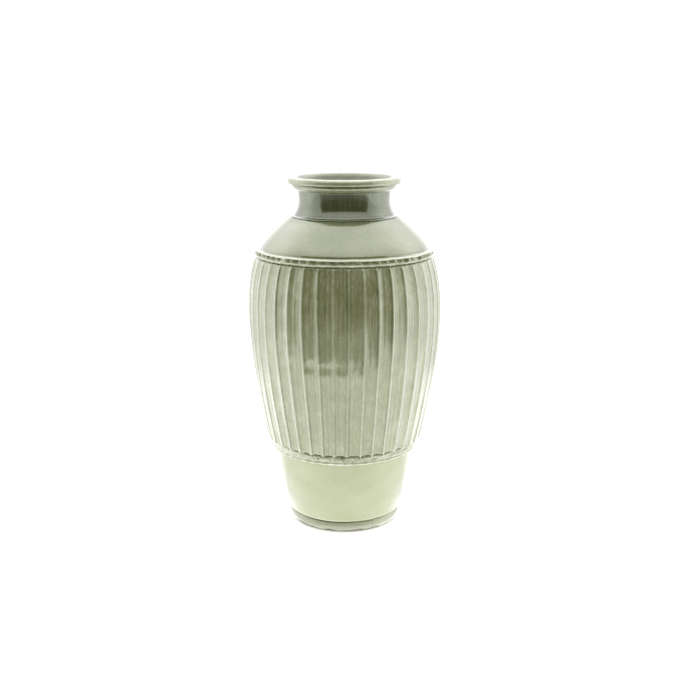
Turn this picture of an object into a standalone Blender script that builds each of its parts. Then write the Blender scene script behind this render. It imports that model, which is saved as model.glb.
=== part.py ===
"""Stoneware vase with a fluted belly, built from the clay pieces that a potter lutes together.

Metres, +Z up. The origin is the centre of the resting face and the axis of the pot is +Z.
Neighbouring pieces keep a gap of SLIP, the layer of slip that joins them. Every joint between
sections is a rabbet or a spigot, hidden behind an applied strip or in a groove.
"""
import math

import bmesh
import bpy

MM = 0.001

# Driving dimensions
HEIGHT = 400 * MM
WALL = 9.5 * MM
SLIP = 0.3 * MM
TONGUE = 4.6 * MM               # width of the tongue in each rabbet
TONGUE_HEIGHT = 4.5 * MM
LINER = 0.8 * MM                # thickness of the glaze skin inside
SEGMENTS = 48                   # facets round a plain turned piece

# Foot and floor
FOOT_RADIUS = 64.8 * MM
FOOT_HEIGHT = 12.6 * MM
FOOT_BORE = 51.0 * MM
GROOVE = 1.6 * MM               # depth of the groove turned above the foot ring
RECESS = 6.0 * MM               # height of the underside of the floor above the table
FLOOR_TOP = 17.0 * MM
FLOOR_RADIUS = 47.0 * MM        # flat part of the floor inside

# Lower body, and the strip round its top
LOWER_BOTTOM_RADIUS = 64.6 * MM
LOWER_TOP_RADIUS = 81.0 * MM
LOWER_SWELL = 1.22              # exponent of the taper: above 1 the wall bulges outwards
LOWER_BAND_BOTTOM = 87.4 * MM
LOWER_BAND_TOP = 98.4 * MM
LOWER_BAND_RADIUS = 84.4 * MM
LOWER_RIM = 103.0 * MM          # underside of the belly section, hidden in the undercut

# Fluted belly
FLUTES = 40
FLUTE_SEGMENTS = 4              # facets across one flute
FLUTE_DEPTH = 1.8 * MM
FLUTE_PHASE = math.radians(2.5)  # angle of the first arris from +X
FLUTE_BOTTOM = 99.8 * MM
FLUTE_TOP = 312.0 * MM
FLUTE_RUNOUT = 15.0 * MM        # height over which a flute dies away at its top
SCALLOP = 1.6 * MM              # rise of the lower edge at the middle of a flute
BELLY_RADIUS = 109.8 * MM
BELLY_CENTRE = 244.0 * MM
BELLY_BOTTOM_RADIUS = 89.6 * MM
BELLY_TOP_RADIUS = 100.4 * MM
BELLY_FALL_BELOW = 1.6          # exponents of the belly's curve below and above its centre
BELLY_FALL_ABOVE = 2.7
UNDERCUT = 2.6 * MM             # width of the dark recess behind the belly's lower edge

# Upper strip over the joint of belly and shoulder
UPPER_BAND_TOP = 322.4 * MM
UPPER_BAND_RADIUS = 102.9 * MM
UPPER_SEAT_RADIUS = 95.2 * MM
UPPER_JOINT = 317.3 * MM
PIT_DEPTH = 2.2 * MM
PIT_HEIGHT = (FLUTE_TOP + UPPER_BAND_TOP) / 2

# Shoulder, neck and mouth
SHOULDER_TOP = 355.8 * MM
SHOULDER_TOP_RADIUS = 62.2 * MM
SHOULDER_DOME = 1.24            # exponent of the dome: above 1 it is steepest where it starts
NECK_FOOT_RADIUS = 58.8 * MM
NECK_WAIST = 374.0 * MM
NECK_WAIST_RADIUS = 51.9 * MM
NECK_TOP = 385.6 * MM
NECK_TOP_RADIUS = 53.1 * MM
STEP_RADIUS = 59.2 * MM          # the moulding under the lip, at its widest
NECK_SPIGOT = 48.4 * MM         # radius of the spigot that sits in the shoulder's socket
SPIGOT_BOTTOM = 350.8 * MM
SOCKET_UNDERSIDE = 347.0 * MM   # lower face of the ledge that the spigot stands on
NECK_BORE = 43.8 * MM
LIP_BOTTOM = 392.0 * MM
LIP_RADIUS = 64.8 * MM
LIP_ROLL = 4.6 * MM             # radius of the roll's section
MOUTH_RADIUS = 50.6 * MM


def blend(start, end, t):
    return start + (end - start) * t


def spaced(start, end, count):
    """count + 1 evenly spaced values from start to end, both included."""
    return [blend(start, end, i / count) for i in range(count + 1)]


def lower_radius(z):
    """Outside of the plain lower body."""
    t = (z - FOOT_HEIGHT) / (LOWER_BAND_BOTTOM - FOOT_HEIGHT)
    fall = max(0.0, 1.0 - t) ** LOWER_SWELL
    return blend(LOWER_TOP_RADIUS, LOWER_BOTTOM_RADIUS, fall)


def belly_radius(z):
    """Outside of the belly, measured on the arrises."""
    if z > BELLY_CENTRE:
        t = (z - BELLY_CENTRE) / (FLUTE_TOP - BELLY_CENTRE)
        return blend(BELLY_RADIUS, BELLY_TOP_RADIUS, t ** BELLY_FALL_ABOVE)
    t = (BELLY_CENTRE - z) / (BELLY_CENTRE - FLUTE_BOTTOM)
    return blend(BELLY_RADIUS, BELLY_BOTTOM_RADIUS, t ** BELLY_FALL_BELOW)


def shoulder_radius(z):
    """Outside of the domed shoulder."""
    t = (z - UPPER_BAND_TOP) / (SHOULDER_TOP - UPPER_BAND_TOP)
    return blend(UPPER_SEAT_RADIUS, SHOULDER_TOP_RADIUS, t ** SHOULDER_DOME)


def neck_radius(z):
    """Outside of the waisted neck, a hollow curve on both sides of its waist."""
    if z < NECK_WAIST:
        t = (NECK_WAIST - z) / (NECK_WAIST - SHOULDER_TOP)
        return blend(NECK_WAIST_RADIUS, NECK_FOOT_RADIUS, t * t)
    t = (z - NECK_WAIST) / (NECK_TOP - NECK_WAIST)
    return blend(NECK_WAIST_RADIUS, NECK_TOP_RADIUS, t * t)


def arc(centre_r, centre_z, radius, start, end, count):
    """Points of a round stretch of an outline; angles in degrees from the outward direction."""
    points = []
    for angle in spaced(math.radians(start), math.radians(end), count):
        points.append((centre_r + radius * math.cos(angle), centre_z + radius * math.sin(angle)))
    return points


def inner_wall(outer_radius, thickness, low, high, count):
    """Points up the inside of a section whose outside is outer_radius(z)."""
    return [(outer_radius(z) - thickness, z) for z in spaced(low, high, count)]


# The inside wall of each section, from the floor up. The liner glaze follows the same points.
LOWER_TONGUE_TOP = LOWER_RIM + TONGUE_HEIGHT
BELLY_TONGUE_TOP = UPPER_JOINT + TONGUE_HEIGHT
FLOOR_INSIDE = [(0.0, FLOOR_TOP), (FLOOR_RADIUS, FLOOR_TOP), (FLOOR_RADIUS + 8 * MM, FLOOR_TOP + 3 * MM)]
LOWER_INSIDE = inner_wall(lower_radius, WALL, 2 * FLOOR_TOP, LOWER_TONGUE_TOP, 2)
BELLY_INSIDE = inner_wall(
    belly_radius, WALL + FLUTE_DEPTH, LOWER_TONGUE_TOP + 10 * MM, BELLY_TONGUE_TOP, 3
)
SHOULDER_INSIDE = inner_wall(
    shoulder_radius, WALL, BELLY_TONGUE_TOP + 5 * MM, SOCKET_UNDERSIDE - 3 * MM, 2
)
NECK_INSIDE = [
    (NECK_BORE, SOCKET_UNDERSIDE),
    (NECK_BORE, NECK_WAIST),
    (NECK_BORE + 1.6 * MM, NECK_TOP),
    (MOUTH_RADIUS - 0.6 * MM, LIP_BOTTOM - SLIP),
]
LOWER_TONGUE = LOWER_INSIDE[-1][0]      # inside radius of the lower body's tongue
BELLY_TONGUE = BELLY_INSIDE[-1][0]      # inside radius of the belly's tongue


def potters_glaze(name, colour, roughness):
    material = bpy.data.materials.new(name)
    material.use_nodes = True
    shader = material.node_tree.nodes["Principled BSDF"]
    shader.inputs["Base Color"].default_value = (*colour, 1.0)
    shader.inputs["Roughness"].default_value = roughness
    shader.inputs["Metallic"].default_value = 0.0
    material.diffuse_color = (*colour, 1.0)
    return material


def turned(name, outline, seat, colour, roughness=0.15, segments=SEGMENTS, shape=None, turn=0.0):
    """Spin an outline of (radius, height) points into one solid whose origin is on the axis at seat.

    An outline that starts and ends on the axis stays open there; any other is closed. shape, if
    given, moves each vertex of the finished solid.
    """
    mesh_builder = bmesh.new()
    verts = [mesh_builder.verts.new((r, 0.0, z)) for r, z in outline]
    edges = [mesh_builder.edges.new(pair) for pair in zip(verts, verts[1:])]
    if outline[0][0] > 0.0:
        edges.append(mesh_builder.edges.new((verts[-1], verts[0])))
    bmesh.ops.spin(
        mesh_builder,
        geom=verts + edges,
        cent=(0.0, 0.0, 0.0),
        axis=(0.0, 0.0, 1.0),
        angle=math.tau,
        steps=segments,
        use_merge=True,
    )
    bmesh.ops.remove_doubles(mesh_builder, verts=mesh_builder.verts, dist=0.002 * MM)
    if shape:
        for vert in mesh_builder.verts:
            shape(vert)
    bmesh.ops.translate(mesh_builder, verts=mesh_builder.verts, vec=(0.0, 0.0, -seat))
    bmesh.ops.recalc_face_normals(mesh_builder, faces=mesh_builder.faces)
    mesh = bpy.data.meshes.new(name)
    mesh_builder.to_mesh(mesh)
    mesh_builder.free()
    mesh.shade_smooth()
    mesh.set_sharp_from_angle(angle=math.radians(32))
    mesh.materials.append(potters_glaze(name + "_finish", colour, roughness))
    piece = bpy.data.objects.new(name, mesh)
    piece.location = (0.0, 0.0, seat)
    piece.rotation_euler = (0.0, 0.0, turn)
    piece.parent = bpy.data.objects["vase"]
    bpy.context.collection.objects.link(piece)
    return piece


def foot_ring():
    """The ring the pot stands on; its top edge is the lower side of the groove."""
    outline = [
        (FOOT_BORE + SLIP, 0.8 * MM),
        (FOOT_BORE + 1.4 * MM, 0.0),
        (FOOT_RADIUS - 2.6 * MM, 0.0),
        (FOOT_RADIUS - 0.7 * MM, 2.2 * MM),
        (FOOT_RADIUS, 5.5 * MM),
        (FOOT_RADIUS - 0.2 * MM, 9.5 * MM),
        (FOOT_RADIUS - GROOVE, FOOT_HEIGHT - SLIP),
        (FOOT_BORE + SLIP, FOOT_HEIGHT - SLIP),
    ]
    turned("foot_ring", outline, 0.0, (0.46, 0.45, 0.36), roughness=0.35)


def lower_body():
    """The thrown base: a floor that locates in the foot ring, and the wall up to its tongued rim."""
    tongue_outside = LOWER_TONGUE + TONGUE
    seat_radius = LOWER_TOP_RADIUS - SLIP
    outline = [
        (0.0, RECESS),
        (FOOT_BORE, RECESS),
        (FOOT_BORE, FOOT_HEIGHT),
        (FOOT_RADIUS - GROOVE, FOOT_HEIGHT),
        (LOWER_BOTTOM_RADIUS - 0.5 * MM, FOOT_HEIGHT + 1.2 * MM),
    ]
    outline += [
        (lower_radius(z), z) for z in spaced(FOOT_HEIGHT + 2 * GROOVE, LOWER_BAND_BOTTOM - SLIP, 4)
    ]
    outline += [
        (seat_radius, LOWER_BAND_BOTTOM),
        (seat_radius, LOWER_RIM - SLIP),
        (tongue_outside, LOWER_RIM - SLIP),
        (tongue_outside, LOWER_TONGUE_TOP),
    ]
    outline += reversed(FLOOR_INSIDE + LOWER_INSIDE)
    turned("lower_body", outline, FOOT_HEIGHT, (0.52, 0.58, 0.38))


def lower_band():
    """The applied strip below the flutes, with a thin ridge along its lower edge."""
    inside = LOWER_TOP_RADIUS
    outline = [
        (inside, LOWER_BAND_BOTTOM),
        (LOWER_BAND_RADIUS - 1.2 * MM, LOWER_BAND_BOTTOM + 0.4 * MM),
        (LOWER_BAND_RADIUS, LOWER_BAND_BOTTOM + 1.6 * MM),
        (LOWER_BAND_RADIUS - 1.6 * MM, LOWER_BAND_BOTTOM + 3.0 * MM),
        (LOWER_BAND_RADIUS - 1.2 * MM, LOWER_BAND_TOP - 1.4 * MM),
        (LOWER_BAND_RADIUS - 2.0 * MM, LOWER_BAND_TOP),
        (inside, LOWER_BAND_TOP),
    ]
    turned("lower_band", outline, LOWER_BAND_BOTTOM, (0.56, 0.61, 0.43))


def carve_flute(vert):
    """Sink the outer skin of the belly between its arrises, and scallop its lower edge."""
    radius = math.hypot(vert.co.x, vert.co.y)
    height = vert.co.z
    if radius < belly_radius(height) - 0.1 * MM or height > FLUTE_TOP:
        return
    across = (math.atan2(vert.co.y, vert.co.x) / math.tau * FLUTES) % 1.0
    hollow = math.sin(math.pi * across)
    runout = min(1.0, (FLUTE_TOP - height) / FLUTE_RUNOUT)
    sunk = (radius - FLUTE_DEPTH * hollow * math.sqrt(runout)) / radius
    vert.co.x *= sunk
    vert.co.y *= sunk
    if height < FLUTE_BOTTOM + 0.1 * MM:
        vert.co.z += SCALLOP * hollow


def fluted_body():
    """The belly section: a rebated lower rim, carved flutes and a tongued upper rim."""
    rebate = LOWER_TONGUE + TONGUE + SLIP
    rebate_top = LOWER_TONGUE_TOP + SLIP
    tongue_outside = BELLY_TONGUE + TONGUE
    heights = spaced(FLUTE_BOTTOM, BELLY_CENTRE, 4)
    heights += spaced(BELLY_CENTRE, FLUTE_TOP - FLUTE_RUNOUT, 2)[1:]
    heights += [FLUTE_TOP - FLUTE_RUNOUT / 3, FLUTE_TOP]
    outline = [(belly_radius(z), z) for z in heights]
    outline += [
        (UPPER_SEAT_RADIUS, FLUTE_TOP),
        (UPPER_SEAT_RADIUS, UPPER_JOINT),
        (tongue_outside, UPPER_JOINT),
        (tongue_outside, BELLY_TONGUE_TOP),
    ]
    outline += reversed(BELLY_INSIDE)
    outline += [
        (LOWER_TONGUE + SLIP, rebate_top),
        (rebate, rebate_top),
        (rebate, LOWER_RIM),
        (LOWER_TOP_RADIUS + UNDERCUT, LOWER_RIM),
    ]
    turned(
        "fluted_body",
        outline,
        FLUTE_BOTTOM,
        (0.40, 0.45, 0.27),
        segments=FLUTES * FLUTE_SEGMENTS,
        shape=carve_flute,
        turn=FLUTE_PHASE,
    )


def press_pits(vert):
    """Sink every second vertex of the strip's middle row, so each flute has a pit above it."""
    radius = math.hypot(vert.co.x, vert.co.y)
    if radius < UPPER_SEAT_RADIUS + 1.0 * MM or abs(vert.co.z - PIT_HEIGHT) > 0.5 * MM:
        return
    across = (math.atan2(vert.co.y, vert.co.x) / math.tau * FLUTES) % 1.0
    sunk = (radius - PIT_DEPTH * math.sin(math.pi * across)) / radius
    vert.co.x *= sunk
    vert.co.y *= sunk


def upper_band():
    """The applied strip over the belly joint: two thin ridges with a row of pits between them."""
    inside = UPPER_SEAT_RADIUS + SLIP
    bottom = FLUTE_TOP + SLIP
    outline = [
        (inside, bottom),
        (UPPER_BAND_RADIUS - 1.6 * MM, bottom),
        (UPPER_BAND_RADIUS, bottom + 2.8 * MM),
        (UPPER_BAND_RADIUS - 2.2 * MM, PIT_HEIGHT),
        (UPPER_BAND_RADIUS - 1.8 * MM, UPPER_BAND_TOP - 2.4 * MM),
        (UPPER_BAND_RADIUS - 5.0 * MM, UPPER_BAND_TOP - 0.8 * MM),
        (inside, UPPER_BAND_TOP - SLIP),
    ]
    turned(
        "upper_band",
        outline,
        bottom,
        (0.50, 0.54, 0.38),
        segments=2 * FLUTES,
        shape=press_pits,
        turn=FLUTE_PHASE,
    )


def shoulder():
    """The domed section: a rebate over the belly's tongue below, and a socket for the neck above."""
    rebate = BELLY_TONGUE + TONGUE + SLIP
    rebate_top = BELLY_TONGUE_TOP + SLIP
    socket = NECK_SPIGOT + SLIP
    socket_bottom = SPIGOT_BOTTOM - SLIP
    outline = [(rebate, UPPER_JOINT + SLIP), (UPPER_SEAT_RADIUS, UPPER_JOINT + SLIP)]
    outline += [(shoulder_radius(z), z) for z in spaced(UPPER_BAND_TOP, SHOULDER_TOP - 1.6 * MM, 5)]
    outline += [
        (SHOULDER_TOP_RADIUS, SHOULDER_TOP - SLIP),
        (socket, SHOULDER_TOP - SLIP),
        (socket, socket_bottom),
        (NECK_BORE, socket_bottom),
        (NECK_BORE, SOCKET_UNDERSIDE),
    ]
    outline += reversed(SHOULDER_INSIDE)
    outline += [(BELLY_TONGUE, rebate_top), (rebate, rebate_top)]
    turned("shoulder", outline, UPPER_JOINT, (0.44, 0.47, 0.34))


def neck_ring():
    """The thin bead laid in the corner between the shoulder and the neck."""
    inside = NECK_FOOT_RADIUS + SLIP
    outline = [(inside, SHOULDER_TOP)]
    outline += arc(SHOULDER_TOP_RADIUS - 2.0 * MM, SHOULDER_TOP + 0.5 * MM, 1.5 * MM, -19, 129, 4)
    outline += [(inside, SHOULDER_TOP + 1.2 * MM)]
    turned("neck_ring", outline, SHOULDER_TOP, (0.56, 0.60, 0.46))


def neck():
    """The waisted collar, with a spigot into the shoulder and a flared collar inside the lip."""
    outline = [(NECK_BORE, SPIGOT_BOTTOM), (NECK_SPIGOT, SPIGOT_BOTTOM), (NECK_SPIGOT, SHOULDER_TOP)]
    outline += [(neck_radius(z), z) for z in spaced(SHOULDER_TOP, NECK_WAIST, 3)]
    outline += [
        (NECK_TOP_RADIUS, NECK_TOP - SLIP),
        (NECK_TOP_RADIUS - 1.5 * MM, NECK_TOP - SLIP),
        (MOUTH_RADIUS + 3.4 * MM, LIP_BOTTOM - SLIP),
    ]
    outline += reversed(NECK_INSIDE[1:])
    turned("neck", outline, SHOULDER_TOP, (0.30, 0.34, 0.21))


def lip_step():
    """The smaller, quarter-round moulding under the lip, wrapped round the neck's flared collar."""
    top = LIP_BOTTOM - SLIP
    outline = [(NECK_TOP_RADIUS - 1.2 * MM, NECK_TOP)]
    for angle in spaced(0.0, 0.5 * math.pi, 5):
        outline.append((
            blend(NECK_TOP_RADIUS, STEP_RADIUS, math.sin(angle)),
            blend(top, NECK_TOP, math.cos(angle)),
        ))
    outline.append((MOUTH_RADIUS + 3.7 * MM, top))
    turned("lip_step", outline, NECK_TOP, (0.36, 0.38, 0.22))


def lip():
    """The rolled lip, flared inside towards the mouth."""
    roll_centre = LIP_RADIUS - LIP_ROLL
    roll_height = HEIGHT - LIP_ROLL
    outline = [(MOUTH_RADIUS, LIP_BOTTOM)]
    outline += arc(roll_centre, roll_height, LIP_ROLL, -45, 112.5, 7)
    outline += [
        (MOUTH_RADIUS + 4.6 * MM, HEIGHT - 1.2 * MM),
        (MOUTH_RADIUS + 2.0 * MM, HEIGHT - 3.4 * MM),
    ]
    turned("lip", outline, LIP_BOTTOM, (0.58, 0.62, 0.46))


def inset(wall, distance):
    """An inside wall moved in from its sides and up from its flat floor, which is its first two points."""
    floor = [(max(0.0, r - distance), z + distance) for r, z in wall[:2]]
    return floor + [(r - distance, z) for r, z in wall[2:]]


def liner_glaze():
    """The glaze skin that lines the pot from the mouth down and holds the water."""
    wall = FLOOR_INSIDE + LOWER_INSIDE + BELLY_INSIDE + SHOULDER_INSIDE + NECK_INSIDE
    outline = inset(wall, SLIP) + list(reversed(inset(wall, SLIP + LINER)))
    turned("liner_glaze", outline, FLOOR_TOP, (0.42, 0.43, 0.34))


def build():
    for old in list(bpy.data.objects):
        bpy.data.objects.remove(old)
    root = bpy.data.objects.new("vase", None)
    bpy.context.collection.objects.link(root)
    foot_ring()
    lower_body()
    lower_band()
    fluted_body()
    upper_band()
    shoulder()
    neck_ring()
    neck()
    lip_step()
    lip()
    liner_glaze()


build()
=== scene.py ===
import math

import bpy
import numpy as np
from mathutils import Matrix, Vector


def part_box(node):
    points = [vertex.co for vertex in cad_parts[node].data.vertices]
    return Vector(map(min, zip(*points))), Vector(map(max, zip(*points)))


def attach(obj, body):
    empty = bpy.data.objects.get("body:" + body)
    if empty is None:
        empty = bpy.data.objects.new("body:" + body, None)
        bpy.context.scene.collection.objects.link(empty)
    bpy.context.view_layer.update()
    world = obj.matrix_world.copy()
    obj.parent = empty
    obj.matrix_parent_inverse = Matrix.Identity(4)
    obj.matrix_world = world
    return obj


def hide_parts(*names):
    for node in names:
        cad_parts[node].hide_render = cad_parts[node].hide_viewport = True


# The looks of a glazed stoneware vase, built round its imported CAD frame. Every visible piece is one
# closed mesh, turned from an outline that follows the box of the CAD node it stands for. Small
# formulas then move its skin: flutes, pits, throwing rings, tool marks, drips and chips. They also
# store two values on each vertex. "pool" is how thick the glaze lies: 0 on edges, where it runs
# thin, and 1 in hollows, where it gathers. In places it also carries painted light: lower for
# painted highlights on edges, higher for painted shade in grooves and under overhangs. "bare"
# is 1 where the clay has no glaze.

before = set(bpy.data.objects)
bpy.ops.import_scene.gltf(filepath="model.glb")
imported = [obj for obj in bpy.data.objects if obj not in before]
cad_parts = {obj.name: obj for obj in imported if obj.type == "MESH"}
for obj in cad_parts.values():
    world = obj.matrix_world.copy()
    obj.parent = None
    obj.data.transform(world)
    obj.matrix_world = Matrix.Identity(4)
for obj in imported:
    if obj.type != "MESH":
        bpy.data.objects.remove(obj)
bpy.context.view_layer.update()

MM = 0.001
TURN = 2.0 * math.pi
FRONT = -0.5 * math.pi          # the side that faces the camera, as an angle from +X


def size_of(node):
    """Outer radius, lowest height and highest height of a CAD node."""
    low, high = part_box(node)
    return max(high.x, -low.x, high.y, -low.y), low.z, high.z


FOOT_RADIUS, FOOT_BOTTOM, FOOT_TOP = size_of("foot_ring")
LOWER_RADIUS, LOWER_BOTTOM, LOWER_TOP = size_of("lower_body")
STRIP_RADIUS, STRIP_BOTTOM, STRIP_TOP = size_of("lower_band")
BELLY_RADIUS, BELLY_BOTTOM, BELLY_TOP = size_of("fluted_body")
ROPE_RADIUS, ROPE_BOTTOM, ROPE_TOP = size_of("upper_band")
SHOULDER_RADIUS, SHOULDER_BOTTOM, SHOULDER_TOP = size_of("shoulder")
RING_RADIUS, RING_BOTTOM, RING_TOP = size_of("neck_ring")
NECK_RADIUS, NECK_BOTTOM, NECK_TOP = size_of("neck")
STEP_RADIUS, STEP_BOTTOM, STEP_TOP = size_of("lip_step")
LIP_RADIUS, LIP_BOTTOM, LIP_TOP = size_of("lip")
LINER_BOTTOM = size_of("liner_glaze")[1]

WALL = 9.5 * MM
SINK = 0.4 * MM                 # how far an applied strip is pressed into the wall behind it
FLUTES = 40
PITS_PER_FLUTE = 1.5
FLUTE_PHASE = math.radians(2.5)  # angle of the first arris from +X
FLUTE_DEPTH = 1.4 * MM
FLUTE_ARCH = 8.0 * MM           # height of the rounded top of a flute
BELLY_CENTRE = 0.61 * LIP_TOP   # the height at which the belly is widest
LOW_BEAD = ROPE_BOTTOM + 2.0 * MM  # height of the lower ridge of the upper strip
HIGH_BEAD = ROPE_TOP - 2.1 * MM  # and of its upper ridge
WAIST = (NECK_BOTTOM + 2.0 * STEP_TOP) / 3.0 - 5.4 * MM  # the height at which the neck is narrowest
WAIST_RADIUS = STEP_RADIUS - 7.3 * MM
PLAIN_SEGMENTS = 480            # mesh columns round a piece with no carving
FLUTE_SEGMENTS = 24             # mesh columns across one flute
STRIP_SEGMENTS = 1200           # mesh columns round the tool-marked lower strip


def blend(start, end, t):
    return start + (end - start) * t


def ease(low, high, value):
    """0 below low, 1 above high, and a smooth rise between them."""
    t = np.clip((value - low) / (high - low), 0.0, 1.0)
    return t * t * (3.0 - 2.0 * t)


def hump(value, centre, width):
    """A smooth bump that is 1 at its centre and has died away at about twice its width."""
    return np.exp(-(((value - centre) / width) ** 2))


def around(phi, centre):
    """Angle from centre the short way round, between -pi and pi."""
    return (phi - centre + math.pi) % TURN - math.pi


def drift(phi, z, seed, waves, pitch, count=6):
    """Smooth unevenness of about -1 to 1: up to waves round the turn, and pitch as its height."""
    dice = np.random.RandomState(seed)
    total = 0.0
    for _ in range(count):
        turns = dice.randint(-waves, waves + 1)
        rise = dice.uniform(-1.0, 1.0) / pitch
        total = total + np.sin(turns * phi + TURN * rise * z + dice.uniform(0.0, TURN))
    return total / math.sqrt(count)


# Outlines

def lower_radius(z):
    """Outside of the plain lower body."""
    t = (z - FOOT_TOP) / (STRIP_BOTTOM - FOOT_TOP)
    return blend(LOWER_RADIUS, FOOT_RADIUS - 0.2 * MM, np.maximum(0.0, 1.0 - t) ** 1.22)


def belly_radius(z):
    """Outside of the belly, measured on the arrises."""
    above = np.maximum(0.0, z - BELLY_CENTRE) / (ROPE_BOTTOM - BELLY_CENTRE)
    below = np.maximum(0.0, BELLY_CENTRE - z) / (BELLY_CENTRE - BELLY_BOTTOM)
    return BELLY_RADIUS - 9.4 * MM * above ** 2.7 - 20.2 * MM * below ** 1.6


def shoulder_radius(z):
    """Outside of the domed shoulder."""
    t = np.maximum(0.0, z - ROPE_TOP) / (SHOULDER_TOP - ROPE_TOP)
    return blend(SHOULDER_RADIUS, RING_RADIUS + 0.5 * MM, t ** 1.24)


def neck_radius(z):
    """Outside of the waisted neck, a hollow curve on both sides of its waist."""
    below = np.maximum(0.0, WAIST - z) / (WAIST - SHOULDER_TOP)
    above = np.maximum(0.0, z - WAIST) / (STEP_BOTTOM - WAIST)
    return WAIST_RADIUS + 6.9 * MM * below ** 2 + 1.2 * MM * above ** 2


def along(radius, low, high, step, inset=0.0):
    """Points (radius, height, rounding) up a wall whose outside is radius(z)."""
    count = max(1, round(abs(high - low) / step))
    return [(float(radius(z)) - inset, z, 0.0) for z in np.linspace(low, high, count + 1)]


def arc(centre_r, centre_z, radius, start, end, count):
    """Points of a round stretch of an outline; angles in degrees from the outward direction."""
    angles = np.radians(np.linspace(start, end, count + 1))
    return [(centre_r + radius * math.cos(a), centre_z + radius * math.sin(a), 0.0) for a in angles]


def rounded(points, step):
    """An outline's points: each corner is bridged by a curve, and each long edge is divided.

    The last point is joined back to the first, unless the outline ends on the axis.
    """
    path = []
    last = len(points) - 1
    for i, (r, z, cut) in enumerate(points):
        corner = np.array((r, z))
        if cut == 0.0:
            path.append(corner)
            continue
        to_before = np.array(points[i - 1][:2]) - corner
        to_after = np.array(points[0 if i == last else i + 1][:2]) - corner
        start = corner + to_before * min(0.5, cut / np.linalg.norm(to_before))
        end = corner + to_after * min(0.5, cut / np.linalg.norm(to_after))
        for t in np.linspace(0.0, 1.0, 6):
            path.append((1 - t) ** 2 * start + 2 * t * (1 - t) * corner + t * t * end)
    dense = []
    for i, point in enumerate(path):
        dense.append(point)
        if i == len(path) - 1 and point[0] == 0.0:
            break
        gap = path[(i + 1) % len(path)] - point
        count = math.ceil(np.linalg.norm(gap) / step)
        dense += [point + gap * k / count for k in range(1, count)]
    return np.array(dense)


# Meshes

def turned_faces(rings, segments, open_axis):
    """Quads between neighbouring rings, as vertex numbers. A closed outline also joins its ends."""
    j = np.arange(segments)
    k = (j + 1) % segments
    faces = []
    for i in range(rings if not open_axis else rings - 1):
        low = i * segments
        high = (i + 1) % rings * segments
        faces.append(np.stack((low + j, low + k, high + k, high + j), 1))
    return np.concatenate(faces).tolist()


def turned(name, outline, segments, shape, material, step=4.0 * MM):
    """Turn an outline into the closed mesh that stands for the CAD node called name.

    shape(phi, r, z) returns the moved phi, r and z and the pool and bare values of each vertex.
    An outline that starts and ends on the axis is closed there by one vertex at each end.
    """
    path = rounded(outline, step)
    open_axis = path[0][0] == 0.0
    low_end, high_end = path[0][1], path[-1][1]
    if open_axis:
        path = path[1:-1]
    rings = len(path)
    phi = np.tile(np.arange(segments) * TURN / segments + FLUTE_PHASE, (rings, 1))
    r = np.repeat(path[:, :1], segments, 1)
    z = np.repeat(path[:, 1:], segments, 1)
    phi, r, z, pool_and_shading, bare = shape(phi, r, z)
    verts = np.stack((r * np.cos(phi), r * np.sin(phi), z), 2).reshape(-1, 3).tolist()
    faces = turned_faces(rings, segments, open_axis)
    values = {
        "pool_and_shading": list(np.broadcast_to(pool_and_shading, r.shape).ravel()),
        "bare": list(np.broadcast_to(bare, r.shape).ravel()),
    }
    if open_axis:
        first = len(verts)
        verts += [(0.0, 0.0, low_end), (0.0, 0.0, high_end)]
        faces += axis_faces(first, rings, segments)
        values["pool_and_shading"] += [0.5, 0.5]
        values["bare"] += [0.0, 0.0]
    add_piece(name, verts, faces, values, material)


def axis_faces(first, rings, segments):
    """Triangles that close both ends on the axis, where the vertices first and first + 1 lie."""
    top_ring = (rings - 1) * segments
    faces = []
    for j in range(segments):
        k = (j + 1) % segments
        faces.append((first, k, j))
        faces.append((first + 1, top_ring + j, top_ring + k))
    return faces


def add_piece(name, verts, faces, values, material):
    """Put a mesh into the scene as the visible piece for a CAD node."""
    mesh = bpy.data.meshes.new(name + "_skin")
    mesh.from_pydata(verts, [], faces)
    for label in values:
        mesh.attributes.new(label, "FLOAT", "POINT").data.foreach_set("value", values[label])
    mesh.shade_smooth()
    mesh.set_sharp_from_angle(angle=math.radians(70))
    mesh.materials.append(material)
    piece = bpy.data.objects.new(name + "_skin", mesh)
    bpy.context.scene.collection.objects.link(piece)
    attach(piece, "root")
    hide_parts(name)


# Materials

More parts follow.
